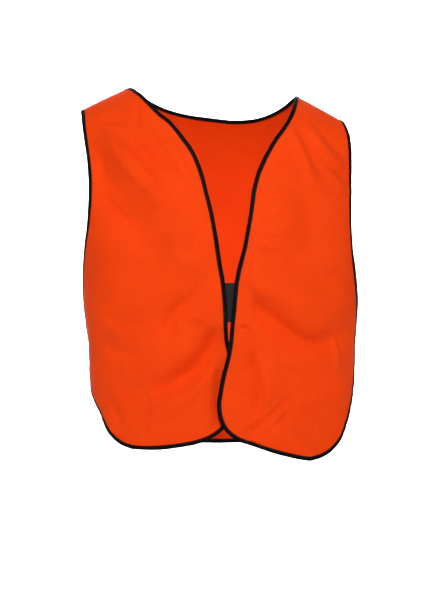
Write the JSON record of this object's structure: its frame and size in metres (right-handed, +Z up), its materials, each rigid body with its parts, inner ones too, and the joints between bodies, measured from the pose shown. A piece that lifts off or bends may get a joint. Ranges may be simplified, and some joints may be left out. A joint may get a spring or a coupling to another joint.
{
  "type": "high-visibility vest",
  "caption": "Sleeveless tabard vest in plain orange cloth with black bound edges, open side slits bridged by elastic straps, and a hook-and-loop front closure.",
  "frame": {"origin": "midway between the two shoulder seams, where the vest rests on the shoulders", "axes": "+Z up, -Y the way the wearer faces, +X the wearer's left"},
  "size_m": [0.3688, 0.2238, 0.4872],
  "materials": {
    "orange_cloth": "matte woven",
    "black_binding": "matte woven tape",
    "black_elastic": "ribbed elastic",
    "hook_and_loop": "matte hook and loop"
  },
  "bodies": {
    "back": {"back_panel": "orange_cloth", "binding_back_neck": "black_binding", "binding_back_right_armhole": "black_binding", "binding_back_left_armhole": "black_binding", "binding_back_hem": "black_binding", "strap_right": "black_elastic", "strap_left": "black_elastic", "shoulder_seam_right": "orange_cloth", "shoulder_seam_left": "orange_cloth"},
    "right_front": {"front_panel_right": "orange_cloth", "binding_right_front_edge": "black_binding", "binding_right_hem": "black_binding", "binding_right_armhole": "black_binding", "closure_loop_patch": "hook_and_loop"},
    "left_front": {"front_panel_left": "orange_cloth", "binding_left_front_edge": "black_binding", "binding_left_hem": "black_binding", "binding_left_armhole": "black_binding"},
    "closure_tab": {"closure_hook_tab": "hook_and_loop"}
  },
  "joints": [
    {"name": "left_front_swing", "type": "hinge", "parent": "back", "child": "left_front", "pos_m": [0.1745, 0.004, -0.023], "axis": [-0.0461, 0.0901, 0.9949], "range_deg": [0, 55]},
    {"name": "right_front_swing", "type": "hinge", "parent": "back", "child": "right_front", "pos_m": [-0.1748, 0.004, -0.009], "axis": [0.0349, 0.0116, -0.9993], "range_deg": [0, 50]},
    {"name": "closure_tab_peel", "type": "hinge", "parent": "left_front", "child": "closure_tab", "pos_m": [0.0435, -0.10314, -0.262], "axis": [0, 0.034, -0.9994], "range_deg": [0, 60]}
  ],
  "couplings": [
    {"joint": "right_front_swing", "follows": "left_front_swing", "ratio": 0.85}
  ]
}
